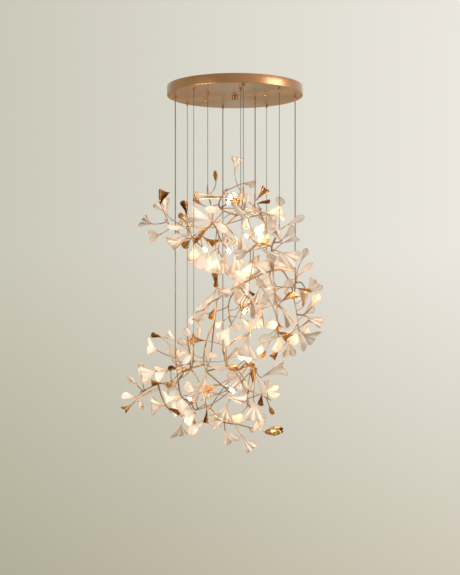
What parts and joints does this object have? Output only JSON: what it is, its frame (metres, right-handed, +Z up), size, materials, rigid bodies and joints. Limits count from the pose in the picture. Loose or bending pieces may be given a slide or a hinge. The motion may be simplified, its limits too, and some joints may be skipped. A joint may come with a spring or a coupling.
{
  "type": "chandelier",
  "caption": "Ceiling chandelier: a round canopy with thin cables that carry stepped tiers of brass branches with white porcelain and gilded ginkgo leaves around small lamps.",
  "frame": {"origin": "centre of the canopy on the ceiling plane", "axes": "+Z up out of the ceiling face, +X to the right and -Y to the front of the spray"},
  "size_m": [0.9297, 0.6468, 1.6142],
  "materials": {
    "brushed_brass_pan": "brushed brass with a semi-gloss lacquer",
    "polished_brass": "polished brass",
    "branch_brass": "satin brass",
    "gilded_brass": "gilded brass leaf, softly burnished",
    "porcelain": "unglazed white porcelain, matte",
    "lamp_glass": "frosted warm lamp",
    "zinc_steel": "zinc plated steel",
    "steel_wire": "thin stranded steel cable",
    "cord_jacket": "satin cord jacket",
    "white_plastic": "moulded plastic"
  },
  "bodies": {
    "canopy": {"canopy_pan": "brushed_brass_pan", "ceiling_bracket": "zinc_steel", "canopy_studs": "zinc_steel", "cap_nuts": "polished_brass", "centre_boss": "polished_brass", "centre_nipple": "zinc_steel", "lamp_driver": "white_plastic", "terminal_block": "white_plastic", "gripper_bodies": "polished_brass", "gripper_lock_nuts": "zinc_steel", "power_cord_1": "cord_jacket", "steel_cable_2": "steel_wire", "steel_cable_3": "steel_wire", "steel_cable_4": "steel_wire", "power_cord_5": "cord_jacket", "steel_cable_6": "steel_wire", "steel_cable_7": "steel_wire", "power_cord_8": "cord_jacket", "steel_cable_9": "steel_wire", "steel_cable_10": "steel_wire", "power_cord_11": "cord_jacket"},
    "upper_tier": {"upper_branches": "branch_brass", "upper_twigs": "branch_brass", "upper_ferrules": "polished_brass", "upper_lamp_holders": "polished_brass", "upper_lamps": "lamp_glass", "upper_porcelain_leaves": "porcelain", "upper_gold_leaves": "gilded_brass"},
    "middle_tier": {"middle_branches": "branch_brass", "middle_twigs": "branch_brass", "middle_ferrules": "polished_brass", "middle_lamp_holders": "polished_brass", "middle_lamps": "lamp_glass", "middle_porcelain_leaves": "porcelain", "middle_gold_leaves": "gilded_brass"},
    "lower_tier": {"lower_branches": "branch_brass", "lower_twigs": "branch_brass", "lower_ferrules": "polished_brass", "lower_lamp_holders": "polished_brass", "lower_lamps": "lamp_glass", "lower_porcelain_leaves": "porcelain", "lower_gold_leaves": "gilded_brass"},
    "plunger_1": {"gripper_plunger_1": "polished_brass"},
    "plunger_2": {"gripper_plunger_2": "polished_brass"},
    "plunger_3": {"gripper_plunger_3": "polished_brass"},
    "plunger_4": {"gripper_plunger_4": "polished_brass"},
    "plunger_5": {"gripper_plunger_5": "polished_brass"},
    "plunger_6": {"gripper_plunger_6": "polished_brass"},
    "plunger_7": {"gripper_plunger_7": "polished_brass"},
    "plunger_8": {"gripper_plunger_8": "polished_brass"},
    "plunger_9": {"gripper_plunger_9": "polished_brass"},
    "plunger_10": {"gripper_plunger_10": "polished_brass"},
    "plunger_11": {"gripper_plunger_11": "polished_brass"}
  },
  "joints": [
    {"name": "upper_tier_height", "type": "slide", "parent": "canopy", "child": "upper_tier", "axis": [0, 0, 1], "range_m": [0, 0.04], "deforming": ["steel_cable_4", "steel_cable_6", "steel_cable_7", "power_cord_8"]},
    {"name": "middle_tier_height", "type": "slide", "parent": "canopy", "child": "middle_tier", "axis": [0, 0, 1], "range_m": [0, 0.04], "deforming": ["steel_cable_9", "steel_cable_10", "power_cord_11"]},
    {"name": "lower_tier_height", "type": "slide", "parent": "canopy", "child": "lower_tier", "axis": [0, 0, 1], "range_m": [0, 0.04], "deforming": ["power_cord_1", "steel_cable_2", "steel_cable_3", "power_cord_5"]},
    {"name": "plunger_1_press", "type": "slide", "parent": "canopy", "child": "plunger_1", "axis": [0, 0, 1], "range_m": [0, 0.002], "stiffness_N_per_m": 300, "springref_m": -0.002},
    {"name": "plunger_2_press", "type": "slide", "parent": "canopy", "child": "plunger_2", "axis": [0, 0, 1], "range_m": [0, 0.002], "stiffness_N_per_m": 300, "springref_m": -0.002},
    {"name": "plunger_3_press", "type": "slide", "parent": "canopy", "child": "plunger_3", "axis": [0, 0, 1], "range_m": [0, 0.002], "stiffness_N_per_m": 300, "springref_m": -0.002},
    {"name": "plunger_4_press", "type": "slide", "parent": "canopy", "child": "plunger_4", "axis": [0, 0, 1], "range_m": [0, 0.002], "stiffness_N_per_m": 300, "springref_m": -0.002},
    {"name": "plunger_5_press", "type": "slide", "parent": "canopy", "child": "plunger_5", "axis": [0, 0, 1], "range_m": [0, 0.002], "stiffness_N_per_m": 300, "springref_m": -0.002},
    {"name": "plunger_6_press", "type": "slide", "parent": "canopy", "child": "plunger_6", "axis": [0, 0, 1], "range_m": [0, 0.002], "stiffness_N_per_m": 300, "springref_m": -0.002},
    {"name": "plunger_7_press", "type": "slide", "parent": "canopy", "child": "plunger_7", "axis": [0, 0, 1], "range_m": [0, 0.002], "stiffness_N_per_m": 300, "springref_m": -0.002},
    {"name": "plunger_8_press", "type": "slide", "parent": "canopy", "child": "plunger_8", "axis": [0, 0, 1], "range_m": [0, 0.002], "stiffness_N_per_m": 300, "springref_m": -0.002},
    {"name": "plunger_9_press", "type": "slide", "parent": "canopy", "child": "plunger_9", "axis": [0, 0, 1], "range_m": [0, 0.002], "stiffness_N_per_m": 300, "springref_m": -0.002},
    {"name": "plunger_10_press", "type": "slide", "parent": "canopy", "child": "plunger_10", "axis": [0, 0, 1], "range_m": [0, 0.002], "stiffness_N_per_m": 300, "springref_m": -0.002},
    {"name": "plunger_11_press", "type": "slide", "parent": "canopy", "child": "plunger_11", "axis": [0, 0, 1], "range_m": [0, 0.002], "stiffness_N_per_m": 300, "springref_m": -0.002}
  ]
}
